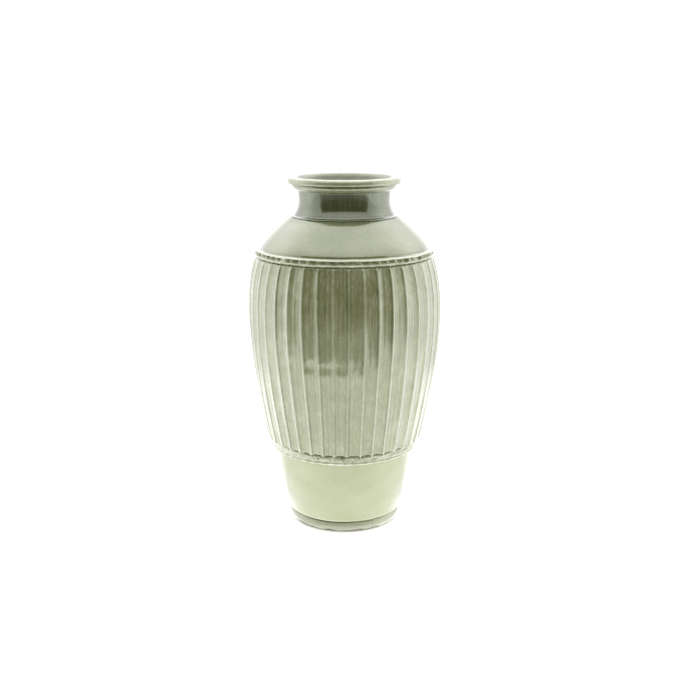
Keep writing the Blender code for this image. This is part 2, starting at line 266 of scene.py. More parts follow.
class Nodes:
    """The node tree of a material or a world, written as calls that return sockets."""

    def __init__(self, owner):
        owner.use_nodes = True
        self.tree = owner.node_tree

    def add(self, kind, settings=None, **inputs):
        node = self.tree.nodes.new(kind)
        for key, value in (settings or {}).items():
            setattr(node, key, value)
        for key, value in inputs.items():
            self.feed(node.inputs[int(key[1:])], value)
        return node

    def feed(self, socket, value):
        if isinstance(value, bpy.types.NodeSocket):
            self.tree.links.new(value, socket)
        else:
            socket.default_value = value

    def value(self, label):
        return self.add("ShaderNodeAttribute", {"attribute_name": label}).outputs["Fac"]

    def place(self, stretch):
        """Object coordinates, scaled so that a pattern is drawn out along an axis."""
        coordinates = self.add("ShaderNodeTexCoord").outputs["Object"]
        node = self.add("ShaderNodeVectorMath", {"operation": "MULTIPLY"}, _0=coordinates, _1=stretch)
        return node.outputs[0]

    def noise(self, scale, stretch=(1, 1, 1), detail=3.0):
        node = self.add("ShaderNodeTexNoise", _0=self.place(stretch), _2=scale, _3=detail, _4=0.55)
        return node.outputs["Fac"]

    def maths(self, operation, a, b=0.0):
        return self.add("ShaderNodeMath", {"operation": operation}, _0=a, _1=b).outputs[0]

    def rest(self, value):
        """What is missing from value to 1."""
        return self.maths("SUBTRACT", 1.0, value)

    def fit(self, value, low, high, start, end):
        """start where value is low, end where it is high, and held beyond them."""
        node = self.add("ShaderNodeMapRange", _0=value, _1=low, _2=high, _3=start, _4=end)
        return node.outputs[0]

    def blend(self, amount, a, b):
        return self.add("ShaderNodeMix", _0=amount, _2=a, _3=b).outputs[0]

    def mix(self, amount, a, b, blend_type="MIX"):
        settings = {"data_type": "RGBA", "blend_type": blend_type}
        return self.add("ShaderNodeMix", settings, _0=amount, _6=a, _7=b).outputs[2]

    def ramp(self, value, stops):
        node = self.add("ShaderNodeValToRGB", _0=value)
        elements = node.color_ramp.elements
        while len(elements) < len(stops):
            elements.new(0.5)
        for element, (position, colour) in zip(elements, stops):
            element.position = position
            element.color = (*colour, 1.0)
        return node.outputs[0]


# Bare clay, darkened to paint the shade along the foot's resting edge.
CLAY_AND_SHADE = (0.175, 0.16, 0.13, 1.0)
SPECK = (0.20, 0.17, 0.10, 1.0)
GREEN_TINT = (0.88, 1.0, 0.72, 1.0)  # the glaze colours what it mirrors
GLOSS = 0.14                    # average roughness of the glaze


def glaze(name, thin, body, deep, mottle=0.10, streaks=0.0, brushed=0.0, shine=1.0, pitted=False):
    """Sage glaze over stoneware, from pale and thin on edges to dark where it has run together.
    It is also paler where the mesh paints highlights, and darker where it paints shade.

    mottle and streaks vary its thickness in patches and in upright runs. brushed raises fine
    upright lines, the trace of the carving tool under the glaze. shine is how strongly it mirrors.
    In pitted glaze the deepest places are too narrow to mirror the room.
    """
    material = bpy.data.materials.new(name)
    nodes = Nodes(material)
    inputs = nodes.tree.nodes["Principled BSDF"].inputs
    bare = nodes.value("bare")
    pool_and_shading = thickness_and_shading(nodes, mottle, streaks)
    nodes.feed(inputs["Base Color"], glaze_colour(nodes, pool_and_shading, bare, (thin, body, deep)))
    rough = nodes.fit(nodes.noise(90.0), 0.3, 0.7, GLOSS * 0.8, GLOSS * 1.3)
    nodes.feed(inputs["Roughness"], nodes.maths("MAXIMUM", rough, nodes.maths("MULTIPLY", bare, 0.75)))
    if pitted:
        shine = nodes.fit(pool_and_shading, 0.6, 1.0, 1.0, 0.1)
        nodes.feed(inputs["Specular IOR Level"], nodes.maths("MULTIPLY", shine, 0.5))
    nodes.feed(inputs["Specular Tint"], GREEN_TINT)
    nodes.feed(inputs["Coat Weight"], nodes.maths("MULTIPLY", nodes.rest(bare), shine))
    nodes.feed(inputs["Coat Roughness"], 0.035)
    nodes.feed(inputs["Coat IOR"], 1.5)
    bump = glaze_bump(nodes, bare, brushed)
    nodes.feed(inputs["Normal"], bump)
    nodes.feed(inputs["Coat Normal"], bump)
    return material


def thickness_and_shading(nodes, mottle, streaks):
    """The pool value of the mesh, glaze thickness with its painted light and shade, made uneven."""
    patches = nodes.fit(nodes.noise(55.0), 0.3, 0.7, -mottle, mottle)
    fine = nodes.fit(nodes.noise(420.0), 0.3, 0.7, -0.05, 0.05)
    runs = nodes.fit(nodes.noise(700.0, (1, 1, 0.035)), 0.3, 0.7, -streaks, streaks)
    pool_and_shading = nodes.maths("ADD", nodes.value("pool_and_shading"), nodes.maths("ADD", patches, fine))
    return nodes.maths("ADD", pool_and_shading, runs)


def glaze_colour(nodes, pool_and_shading, bare, colours):
    """Thin, body and deep colour by thickness and by painted light and shade, with iron specks, and grogged
    clay where it is bare.
    """
    colour = nodes.ramp(pool_and_shading, list(zip((0.0, 0.5, 1.0), colours)))
    specks = nodes.fit(nodes.noise(1500.0, detail=1.0), 0.70, 0.78, 0.0, 0.35)
    colour = nodes.mix(specks, colour, SPECK)
    grog = nodes.fit(nodes.noise(900.0, detail=4.0), 0.3, 0.7, 0.7, 1.25)
    grog_colour = nodes.add("ShaderNodeCombineColor", _0=grog, _1=grog, _2=grog).outputs[0]
    # The bare clay colour, darkened as painted shade.
    clay = nodes.mix(1.0, CLAY_AND_SHADE, grog_colour, "MULTIPLY")
    return nodes.mix(bare, colour, clay)


def glaze_bump(nodes, bare, brushed):
    """The faint orange peel of the glaze, the grain of bare clay, and brushed lines if wanted."""
    peel = nodes.maths("ADD", nodes.noise(260.0), nodes.maths("MULTIPLY", bare, nodes.noise(2200.0)))
    bump = nodes.add("ShaderNodeBump", _0=0.35, _1=0.12 * MM, _3=peel)
    if brushed:
        lines = nodes.noise(1900.0, (1, 1, 0.02), detail=2.0)
        bump = nodes.add("ShaderNodeBump", _0=brushed, _1=0.10 * MM, _3=lines, _4=bump.outputs[0])
    return bump.outputs[0]


# Pieces

def plain(phi, r, z, seed, rings=0.02 * MM, spacing=4.2 * MM):
    """A thrown wall: faint rings left by the fingers, slightly uneven round the turn."""
    wander = 0.7 * MM * drift(phi, z, seed, 3, 60 * MM)
    ring = np.sin(TURN * (z + wander) / spacing) * (0.6 + 0.4 * drift(phi, z, seed + 1, 2, 30 * MM))
    return r + rings * ring + 0.12 * MM * drift(phi, z, seed + 2, 3, 90 * MM)


def foot_chips(angle, z):
    """Depth of the small chips along the resting edge, closest together at the front right."""
    dice = np.random.RandomState(5)
    spots = [math.radians(d) for d in (9, 14, 17, 22, -48)] + list(dice.uniform(0.6, 5.6, 9))
    chips = 0.0
    for spot in spots:
        size = dice.uniform(0.5, 1.3) * MM
        width = dice.uniform(0.7, 1.8) * MM / FOOT_RADIUS
        chips = chips + size * hump(around(angle, spot), 0.0, width) * hump(z, 0.6 * MM, 1.6 * MM)
    return chips


def foot_shape(phi, r, z):
    """The foot's skin: fine turning lines, chips, one hairline, a bare, uneven resting edge and painted
    light.
    """
    skin = ease(FOOT_RADIUS - 6.5 * MM, FOOT_RADIUS - 4.5 * MM, r)
    r = r + 0.04 * MM * skin * drift(phi, z, 11, 20, 8 * MM)
    r = r - 0.10 * MM * skin * np.sin(TURN * z / (2.1 * MM))
    angle = around(phi, FRONT)
    right = ease(-0.2, 0.9, angle)
    chips = foot_chips(angle, z)
    r = r - skin * chips
    hairline_at = math.radians(30) + 0.01 * np.sin(z / (2.2 * MM))
    hairline = hump(angle, hairline_at, 0.35 * MM / FOOT_RADIUS)
    r = r - 0.25 * MM * skin * hairline
    edge = 3.6 * MM + 0.8 * MM * drift(phi, z, 13, 24, 40 * MM) - 0.6 * MM * right
    bare = np.maximum(1.0 - ease(edge - 0.5 * MM, edge + 0.3 * MM, z), 1.0 - skin)
    bare = np.maximum(bare, np.minimum(1.0, 1.5 * chips / MM))
    bare = np.maximum(bare, 0.6 * hairline)
    # Painted light: the glaze is paler towards the right, and painted shade darkens its top under the
    # groove, less so on the right.
    pool_and_shading = 0.46 - 0.30 * right + 0.06 * drift(phi, z, 14, 12, 3 * MM)
    pool_and_shading = pool_and_shading + (0.45 - 0.25 * right) * ease(FOOT_TOP - 2.4 * MM, FOOT_TOP, z)
    return phi, r, z, pool_and_shading, bare


def foot_ring():
    """The turned ring that the pot stands on, with bare clay on its resting edge."""
    bore = FOOT_RADIUS - 13.5 * MM
    outline = [
        (bore, FOOT_BOTTOM + 0.8 * MM, 0.0),
        (bore + 1.4 * MM, FOOT_BOTTOM, 0.6 * MM),
        (FOOT_RADIUS - 4.4 * MM, FOOT_BOTTOM, 0.8 * MM),
        (FOOT_RADIUS - 1.1 * MM, FOOT_BOTTOM + 3.2 * MM, 1.0 * MM),
        (FOOT_RADIUS, FOOT_BOTTOM + 6.0 * MM, 1.5 * MM),
        (FOOT_RADIUS - 0.2 * MM, FOOT_TOP - 2.8 * MM, 1.5 * MM),
        (FOOT_RADIUS - 2.0 * MM, FOOT_TOP, 0.5 * MM),
        (bore, FOOT_TOP, 0.0),
    ]
    thin, body, deep = (0.60, 0.62, 0.42), (0.42, 0.44, 0.27), (0.14, 0.16, 0.07)
    material = glaze("foot_glaze", thin, body, deep, mottle=0.04)
    turned("foot_ring", outline, PLAIN_SEGMENTS, foot_shape, material, step=0.6 * MM)


def lower_shape(phi, r, z):
    """The lower body's skin: finger marks, a pale edge above the foot's groove, dark in the groove."""
    moved = plain(phi, r, z, 21)
    fingers = 0.05 * MM * drift(phi, z, 23, 9, 22 * MM)
    edge = hump(z, FOOT_TOP + 1.6 * MM, 1.5 * MM)
    groove = 1.0 - ease(FOOT_TOP - 0.6 * MM, FOOT_TOP + 0.8 * MM, z)
    under_strip = ease(STRIP_BOTTOM - 2.2 * MM, STRIP_BOTTOM - 0.2 * MM, z)
    pool_and_shading = 0.42 + 0.04 * drift(phi, z, 24, 8, 25 * MM) - 0.35 * edge + 0.55 * groove + 0.08 * under_strip
    return phi, moved + fingers, z, pool_and_shading, 0.0


def lower_body():
    """The plain thrown base, from its floor to the rim behind the lower strip."""
    inner_floor = LINER_BOTTOM - 0.3 * MM
    outline = [
        (0.0, LOWER_BOTTOM, 0.0),
        (FOOT_RADIUS - 14.0 * MM, LOWER_BOTTOM, 0.0),
        (FOOT_RADIUS - 14.0 * MM, FOOT_TOP + 0.1 * MM, 0.0),
        (FOOT_RADIUS - 2.6 * MM, FOOT_TOP + 0.1 * MM, 0.4 * MM),
        (FOOT_RADIUS - 1.0 * MM, FOOT_TOP + 1.0 * MM, 0.4 * MM),
    ]
    outline += along(lower_radius, FOOT_TOP + 2.2 * MM, STRIP_BOTTOM + 2.0 * MM, 1.5 * MM)
    outline += [
        (LOWER_RADIUS, LOWER_TOP - 4.8 * MM, 0.0),
        (LOWER_RADIUS - 5.0 * MM, LOWER_TOP - 4.8 * MM, 0.0),
        (LOWER_RADIUS - 5.0 * MM, LOWER_TOP, 0.0),
    ]
    outline += along(lower_radius, LOWER_TOP, 2 * inner_floor, 20 * MM, WALL)
    outline += [
        (FOOT_RADIUS - 10 * MM, inner_floor + 3 * MM, 0.0),
        (47 * MM, inner_floor, 0.0),
        (0.0, inner_floor, 0.0),
    ]
    thin, body, deep = (0.72, 0.76, 0.50), (0.50, 0.55, 0.265), (0.16, 0.20, 0.08)
    material = glaze("lower_glaze", thin, body, deep, mottle=0.05)
    turned("lower_body", outline, PLAIN_SEGMENTS, lower_shape, material, step=6 * MM)


def strip_shape(phi, r, z):
    """Slanting tool marks between the strip's top and the thin ridge along its lower edge."""
    skin = ease(STRIP_RADIUS - 4.0 * MM, STRIP_RADIUS - 3.0 * MM, r)
    field = hump(z, STRIP_TOP - 3.8 * MM, 2.8 * MM) * skin
    slant = 130 * phi - (z - STRIP_BOTTOM) / (0.9 * MM) + 2.6 * drift(phi, z, 31, 22, 14 * MM)
    marks = np.maximum(0.0, np.sin(slant)) ** 2 * (0.5 + 0.6 * drift(phi, z, 32, 30, 12 * MM))
    ridge = hump(z, STRIP_BOTTOM + 2.8 * MM, 0.9 * MM) * skin
    shadow = ease(STRIP_TOP - 2.6 * MM, STRIP_TOP - 0.8 * MM, z)
    r = r + 0.9 * MM * field * marks + 0.25 * MM * field * drift(phi, z, 36, 110, 5 * MM)
    r = r + 0.16 * MM * ridge * drift(phi, z, 33, 44, 40 * MM)
    z = z + 0.22 * MM * ridge * drift(phi, z, 34, 26, 40 * MM)
    angle = around(phi, FRONT)
    drip = hump(angle, math.radians(-1.5), 2.2 * MM / STRIP_RADIUS)
    drip = drip * ease(STRIP_TOP - 7 * MM, STRIP_TOP - 4 * MM, z)
    r = r + 0.7 * MM * skin * drip
    # shadow is painted shade under the overhanging flutes, darkening the top of the strip.
    pool_and_shading = 0.12 + 0.45 * field * (0.3 - marks) + 0.02 * ridge + 0.5 * drip * skin + 0.25 * shadow
    pool_and_shading = pool_and_shading + 0.11 * drift(phi, z, 35, 60, 6 * MM)
    return phi, r, z, pool_and_shading, 0.0


def lower_band():
    """The strip below the flutes, with a thin ridge along its lower edge."""
    inside = LOWER_RADIUS - SINK
    outline = [
        (inside, STRIP_BOTTOM - 0.2 * MM, 0.0),
        (LOWER_RADIUS + 0.2 * MM, STRIP_BOTTOM + 0.1 * MM, 0.5 * MM),
        (STRIP_RADIUS - 1.3 * MM, STRIP_BOTTOM + 1.3 * MM, 1.0 * MM),
        (STRIP_RADIUS, STRIP_BOTTOM + 2.6 * MM, 0.7 * MM),
        (STRIP_RADIUS - 1.4 * MM, STRIP_BOTTOM + 3.9 * MM, 0.6 * MM),
        (STRIP_RADIUS - 1.4 * MM, STRIP_TOP - 1.6 * MM, 1.4 * MM),
        (STRIP_RADIUS - 2.2 * MM, STRIP_TOP, 0.6 * MM),
        (inside, STRIP_TOP, 0.0),
    ]
    thin, body, deep = (0.98, 1.0, 0.79), (0.50, 0.55, 0.29), (0.13, 0.155, 0.055)
    material = glaze("strip_glaze", thin, body, deep, pitted=True)
    turned("lower_band", outline, STRIP_SEGMENTS, strip_shape, material, step=0.45 * MM)


def flute_cut(phi, z):
    """Depth of the carving, where across runs from 0 at one arris to 1 at the next."""
    count = (phi - FLUTE_PHASE) / TURN * FLUTES
    across = count % 1.0
    flute = np.floor(count + 1e-9).astype(int) % FLUTES
    dice = np.random.RandomState(41)
    depth = FLUTE_DEPTH * dice.uniform(0.82, 1.16, FLUTES)[flute]
    ridge = dice.uniform(0.04, 0.22, FLUTES)[flute] * MM
    ridge_place = dice.uniform(0.40, 0.62, FLUTES)[flute]
    hollow = np.hypot(1.0 - np.abs(2.0 * across - 1.0) ** 2.4, 0.07) - 0.07
    second = np.where(across < ridge_place, across / ridge_place, (1.0 - across) / (1.0 - ridge_place))
    second = ridge * (np.sin(math.pi * second) - 0.6 * second)
    lift = np.maximum(0.0, (z - (ROPE_BOTTOM - FLUTE_ARCH)) / FLUTE_ARCH) ** 2
    return np.maximum(0.0, depth * (hollow - 1.08 * lift) + second * (1.0 - lift)), across, flute


def belly_waves(phi, z):
    """Slow waves in the glaze, which make the lower edge of the dark reflection ragged."""
    left = hump(around(phi, FRONT), math.radians(-16), math.radians(17))
    ring = np.sin(TURN * (z - BELLY_CENTRE + 34 * MM) / (20 * MM))
    ring = ring * hump(z, BELLY_CENTRE - 39 * MM, 13 * MM)
    waves = 0.17 * MM * ring * (0.15 + left) * (1.0 + 0.3 * drift(phi, z, 58, 40, 90 * MM))
    uneven = 0.05 * MM * hump(z, BELLY_CENTRE - 32 * MM, 20 * MM) * drift(phi, z, 59, 90, 8 * MM, 14)
    return waves + uneven


def belly_streaks(phi, z):
    """Fine upright unevenness left by the carving tool."""
    streaks = drift(phi, z, 43, 420, 500 * MM, 14) * 0.010 * MM
    streaks = streaks + drift(phi, z, 44, 170, 300 * MM, 10) * 0.025 * MM
    return streaks + drift(phi, z, 57, 60, 26 * MM, 10) * 0.06 * MM


def belly_shape(phi, r, z):
    """The carved skin of the belly, with glaze worn thin on the arrises and pooled in the flutes, and
    painted light.
    """
    skin = ease(-2.2 * MM, -0.6 * MM, r - belly_radius(z)) * ease(ROPE_BOTTOM + 0.5 * MM, ROPE_BOTTOM, z)
    cut, across, flute = flute_cut(phi, z)
    arris = np.minimum(across, 1.0 - across)
    dice = np.random.RandomState(42)
    shallow = dice.uniform(-1.0, 1.0, FLUTES)[flute]
    crease = hump(across, 0.12, 0.05) * ease(0.24, 0.14, z)
    line = hump(across, 0.52 + 0.08 * shallow, 0.03) * ease(0.19, 0.24, z) * ease(-0.4, 0.6, shallow)
    # The arrises are pale from thin glaze, and also from a painted highlight that is strong towards the
    # sides and faint at the front.
    worn_edge_and_highlight = hump(arris, 0.0, 0.065) * (1.0 - 0.85 * hump(around(phi, FRONT), 0.0, 0.32))
    beside = hump(across, 0.12, 0.045) * ease(-0.8, 0.8, shallow)
    beside = beside + hump(across, 0.88, 0.045) * ease(0.8, -0.8, shallow)
    r = r - skin * cut
    streaks = belly_streaks(phi, z) * ease(0.02, 0.12, arris)
    r = r - skin * (streaks + 0.12 * MM * crease + 0.10 * MM * line)
    r = r + skin * 0.25 * MM * drift(phi, z, 45, 5, 120 * MM)
    r = r + skin * belly_waves(phi, z)
    phi = phi + skin * math.radians(0.55) * drift(phi, z, 46, 14, 260 * MM, 8)
    rim = ease(BELLY_BOTTOM + 3.0 * MM, BELLY_BOTTOM, z) * ease(-9 * MM, -4 * MM, r - belly_radius(z))
    bite = 2.3 * MM * np.sin(math.pi * across) ** 0.8 * (0.85 + 0.25 * drift(phi, z, 47, 9, 400 * MM))
    z = z + rim * bite
    z = z + rim * 0.2 * MM * drift(phi, z, 48, 120, 400 * MM)
    # The dip under the upper strip is also darkened: painted shade in the undercut, together with pooled
    # glaze.
    throat = ease(ROPE_BOTTOM - 1.6 * MM, ROPE_BOTTOM - 0.2 * MM, z)
    r = r - 1.0 * MM * throat * skin
    pool_and_shading = 0.48 - 0.65 * worn_edge_and_highlight + 0.42 * beside + 0.35 * crease + 0.36 * line + 0.5 * throat
    pool_and_shading = pool_and_shading + 0.05 * drift(phi, z, 49, 300, 400 * MM, 10) - 0.06 * drift(phi, z, 50, 10, 70 * MM)
    pool_and_shading = pool_and_shading - 0.25 * ease(BELLY_BOTTOM + 3.5 * MM, BELLY_BOTTOM + 0.5 * MM, z)
    return phi, r, z, np.where(skin > 0.02, pool_and_shading, 0.9), 0.0


def fluted_body():
    """The carved belly. Its lower edge overhangs the strip below, and its skin is cut into flutes."""
    inside = WALL + 1.8 * MM
    recess = LOWER_RADIUS + 2.9 * MM
    recess_top = BELLY_BOTTOM + 3.4 * MM
    outline = [(LOWER_RADIUS - 4.6 * MM, recess_top, 0.0), (recess, recess_top, 0.0)]
    outline += [(belly_radius(BELLY_BOTTOM) - 2.2 * MM, BELLY_BOTTOM + 0.7 * MM, 0.0)]
    outline += [(belly_radius(BELLY_BOTTOM) - 0.9 * MM, BELLY_BOTTOM, 0.0)]
    outline += [(belly_radius(BELLY_BOTTOM) - 0.3 * MM, BELLY_BOTTOM + 0.1 * MM, 0.0)]
    outline += along(belly_radius, BELLY_BOTTOM + 0.6 * MM, BELLY_BOTTOM + 3.6 * MM, 0.6 * MM)
    outline += along(belly_radius, BELLY_BOTTOM + 6 * MM, ROPE_BOTTOM - FLUTE_ARCH - 2 * MM, 3.2 * MM)
    outline += along(belly_radius, ROPE_BOTTOM - FLUTE_ARCH - 1 * MM, ROPE_BOTTOM - 0.1 * MM, 0.9 * MM)
    outline += [
        (SHOULDER_RADIUS - 0.2 * MM, ROPE_BOTTOM, 0.0),
        (SHOULDER_RADIUS - 0.2 * MM, SHOULDER_BOTTOM - 0.3 * MM, 0.0),
        (SHOULDER_RADIUS - 4.0 * MM, SHOULDER_BOTTOM - 0.3 * MM, 0.0),
        (SHOULDER_RADIUS - 4.0 * MM, BELLY_TOP, 0.0),
    ]
    outline += along(belly_radius, BELLY_TOP - 2 * MM, LOWER_TOP + 8 * MM, 30 * MM, inside)
    outline += [(LOWER_RADIUS - 4.6 * MM, LOWER_TOP + 2 * MM, 0.0)]
    thin, body, deep = (0.80, 0.83, 0.60), (0.375, 0.395, 0.19), (0.11, 0.145, 0.06)
    material = glaze("flute_glaze", thin, body, deep, streaks=0.12, brushed=1.0)
    segments = FLUTES * FLUTE_SEGMENTS
    turned("fluted_body", outline, segments, belly_shape, material, step=40 * MM)


def rope_shape(phi, r, z):
    """Pits pressed side by side between two thin ridges, three to each pair of flutes."""
    middle = (LOW_BEAD + HIGH_BEAD) / 2.0
    skin = ease(ROPE_RADIUS - 7.2 * MM, ROPE_RADIUS - 6.2 * MM, r)
    count = (phi - FLUTE_PHASE) / TURN * FLUTES * PITS_PER_FLUTE + 0.16 * drift(phi, z, 51, 17, 60 * MM)
    lean = 0.12 * (z - middle) / (5.0 * MM)
    across = (count + lean) % 1.0
    wall = np.minimum(across, 1.0 - across)
    size = 0.75 + 0.35 * drift(phi, z, 56, 40, 90 * MM)
    pit = ease(0.02, 0.36, wall) * hump(z, middle, 2.3 * MM) * size
    second = hump(across, 0.22, 0.06) * hump(z, middle, 2.2 * MM)
    low_bead = ease(LOW_BEAD - 0.9 * MM, LOW_BEAD - 0.5 * MM, z)
    low_bead = low_bead * ease(LOW_BEAD + 0.8 * MM, LOW_BEAD + 0.4 * MM, z) * skin
    high_bead = ease(HIGH_BEAD - 1.4 * MM, HIGH_BEAD - 1.0 * MM, z) * skin
    bead = np.maximum(low_bead, high_bead)
    r = r - skin * (1.9 * MM * pit - 0.4 * MM * second) * (1.0 - bead)
    r = r + skin * 0.07 * MM * drift(phi, z, 52, 150, 9 * MM)
    lift = 0.22 * MM * np.cos(TURN * count) + 0.25 * MM * drift(phi, z, 53, 60, 60 * MM)
    z = z + low_bead * lift
    z = z + 0.20 * MM * high_bead * drift(phi, z, 54, 50, 60 * MM)
    recess = 1.0 - ease(LOW_BEAD - 1.2 * MM, LOW_BEAD - 0.6 * MM, z)
    # The ridges are paler, from thin glaze and a painted highlight; the recess under the lower ridge is
    # darker, painted shade.
    pool_and_shading = 0.80 + 0.45 * pit + 0.5 * recess - 1.8 * bead
    pool_and_shading = pool_and_shading - 0.35 * hump(wall, 0.0, 0.08) * (1.0 - recess) - 0.3 * second
    return phi, r, z, pool_and_shading + 0.16 * drift(phi, z, 55, 120, 6 * MM), 0.0


def upper_band():
    """The strip over the joint of belly and shoulder: two thin ridges and a row of pits."""
    inside = SHOULDER_RADIUS - SINK
    outline = [
        (inside, ROPE_BOTTOM - 0.2 * MM, 0.0),
        (ROPE_RADIUS - 2.8 * MM, ROPE_BOTTOM - 0.2 * MM, 0.3 * MM),
        (ROPE_RADIUS - 2.3 * MM, LOW_BEAD - 0.9 * MM, 0.2 * MM),
        (ROPE_RADIUS, LOW_BEAD - 0.45 * MM, 0.3 * MM),
        (ROPE_RADIUS - 0.7 * MM, LOW_BEAD + 0.1 * MM, 0.3 * MM),
        (ROPE_RADIUS - 1.9 * MM, LOW_BEAD + 0.4 * MM, 0.2 * MM),
        (ROPE_RADIUS - 2.5 * MM, HIGH_BEAD - 1.3 * MM, 0.3 * MM),
        (ROPE_RADIUS - 1.6 * MM, HIGH_BEAD - 0.8 * MM, 0.4 * MM),
        (ROPE_RADIUS - 3.8 * MM, HIGH_BEAD + 0.6 * MM, 0.6 * MM),
        (SHOULDER_RADIUS + 0.4 * MM, HIGH_BEAD + 1.0 * MM, 0.3 * MM),
        (inside, HIGH_BEAD + 0.9 * MM, 0.0),
    ]
    thin, body, deep = (0.80, 0.82, 0.62), (0.44, 0.48, 0.26), (0.38, 0.415, 0.22)
    material = glaze("pit_glaze", thin, body, deep, pitted=True)
    segments = FLUTES * FLUTE_SEGMENTS
    turned("upper_band", outline, segments, rope_shape, material, step=0.55 * MM)


def shoulder_shape(phi, r, z):
    """The shoulder's skin, with a faint groove just above the upper strip."""
    r = plain(phi, r, z, 61, rings=0.012 * MM, spacing=5.0 * MM)
    skin = ease(ROPE_TOP - 2.5 * MM, ROPE_TOP - 1 * MM, z)
    groove = hump(z, ROPE_TOP - 0.9 * MM, 0.5 * MM)
    r = r - 0.10 * MM * groove * skin
    z = z + 0.05 * MM * drift(phi, z, 63, 7, 20 * MM)
    near_neck = ease(SHOULDER_TOP - 5 * MM, SHOULDER_TOP, z)
    pool_and_shading = 0.45 + 0.05 * drift(phi, z, 64, 6, 20 * MM) + 0.12 * groove + 0.25 * near_neck
    return phi, r, z, pool_and_shading, 0.0


def shoulder(material):
    """The domed shoulder, from behind the upper strip to the neck."""
    bore = NECK_RADIUS - 15.0 * MM
    outline = [(SHOULDER_RADIUS - 3.8 * MM, SHOULDER_BOTTOM, 0.0), (SHOULDER_RADIUS, SHOULDER_BOTTOM, 0.0)]
    outline += along(shoulder_radius, ROPE_TOP - 1.5 * MM, SHOULDER_TOP - 1.0 * MM, 0.9 * MM)
    outline += [
        (RING_RADIUS + 0.3 * MM, SHOULDER_TOP, 0.4 * MM),
        (NECK_RADIUS - 10.1 * MM, SHOULDER_TOP, 0.0),
        (NECK_RADIUS - 10.1 * MM, NECK_BOTTOM - 0.3 * MM, 0.0),
        (bore, NECK_BOTTOM - 0.3 * MM, 0.0),
        (bore, NECK_BOTTOM - 3.8 * MM, 0.0),
    ]
    outline += along(shoulder_radius, NECK_BOTTOM - 7 * MM, ROPE_TOP + 4 * MM, 6 * MM, WALL)
    outline += [
        (SHOULDER_RADIUS - 8.8 * MM, ROPE_TOP, 0.0),
        (SHOULDER_RADIUS - 3.8 * MM, ROPE_TOP - 0.2 * MM, 0.0),
    ]
    turned("shoulder", outline, PLAIN_SEGMENTS, shoulder_shape, material, step=1.2 * MM)


def ring_shape(phi, r, z):
    """The bead's skin: pale on its crest, dark in the grooves beside it."""
    r = r + 0.06 * MM * drift(phi, z, 71, 30, 9 * MM)
    crest = ease(NECK_RADIUS + 0.8 * MM, NECK_RADIUS + 1.6 * MM, r)
    crest = crest * ease(RING_BOTTOM + 0.2 * MM, RING_TOP - 0.8 * MM, z)
    return phi, r, z, 1.1 - 1.1 * crest, 0.0


def neck_ring(material):
    """The thin bead between two fine grooves where the neck leaves the shoulder."""
    inside = NECK_RADIUS - SINK
    outline = [
        (inside, RING_BOTTOM - 0.2 * MM, 0.0),
        (RING_RADIUS - 1.4 * MM, RING_BOTTOM - 0.2 * MM, 0.2 * MM),
    ]
    outline += arc(RING_RADIUS - 2.2 * MM, RING_BOTTOM + 0.4 * MM, 0.9 * MM, -25, 90, 10)
    outline += [
        (NECK_RADIUS - 0.1 * MM, RING_BOTTOM + 1.5 * MM, 0.4 * MM),
        (neck_radius(RING_TOP) + 0.1 * MM, RING_TOP, 0.0),
        (neck_radius(RING_TOP) - SINK, RING_TOP, 0.0),
    ]
    turned("neck_ring", outline, PLAIN_SEGMENTS, ring_shape, material, step=0.4 * MM)


def neck_shape(phi, r, z):
    """The neck's skin: faint rings, a dark groove above the bead, and paler glaze under the lip."""
    outer = ease(NECK_RADIUS - 11.4 * MM, NECK_RADIUS - 9.4 * MM, r)
    outer = outer * ease(SHOULDER_TOP, SHOULDER_TOP + 1 * MM, z)
    r = r + outer * (0.004 * MM * np.sin(TURN * z / (3.4 * MM)) + 0.04 * MM * drift(phi, z, 81, 4, 60 * MM))
    r = r + outer * 0.004 * MM * drift(phi, z, 82, 160, 60 * MM, 10)
    foot = hump(z, RING_TOP + 1.6 * MM, 0.6 * MM)
    r = r - 0.15 * MM * outer * foot
    collar = ease(STEP_BOTTOM - 1.6 * MM, STEP_BOTTOM, z) * outer
    pool_and_shading = 0.5 + 0.05 * drift(phi, z, 83, 60, 40 * MM) + 0.6 * foot - 0.3 * collar
    return phi, r, z, np.where(outer > 0.1, pool_and_shading, 0.25), 0.0


def neck():
    """The waisted neck, with a flared collar inside the lip."""
    bore = NECK_RADIUS - 15.0 * MM
    flare = LIP_RADIUS - 14.8 * MM
    outline = [
        (bore, NECK_BOTTOM, 0.0),
        (bore + 4.4 * MM, NECK_BOTTOM, 0.0),
        (bore + 4.4 * MM, SHOULDER_TOP, 0.0),
    ]
    outline += along(neck_radius, SHOULDER_TOP + 0.2 * MM, STEP_BOTTOM - 1.2 * MM, 0.8 * MM)
    outline += [
        (neck_radius(STEP_BOTTOM) + 0.9 * MM, STEP_BOTTOM, 0.6 * MM),
        (neck_radius(STEP_BOTTOM) + 0.9 * MM, STEP_BOTTOM + 0.6 * MM, 0.0),
        (flare + 2.4 * MM, NECK_TOP, 0.0),
        (flare, NECK_TOP, 0.0),
        (bore + 1.6 * MM, STEP_BOTTOM, 1.5 * MM),
        (bore, WAIST, 3 * MM),
    ]
    thin, body, deep = (0.40, 0.43, 0.26), (0.14, 0.16, 0.07), (0.06, 0.07, 0.03)
    material = glaze("neck_glaze", thin, body, deep, mottle=0.05, streaks=0.03, shine=0.8)
    turned("neck", outline, PLAIN_SEGMENTS, neck_shape, material, step=0.9 * MM)


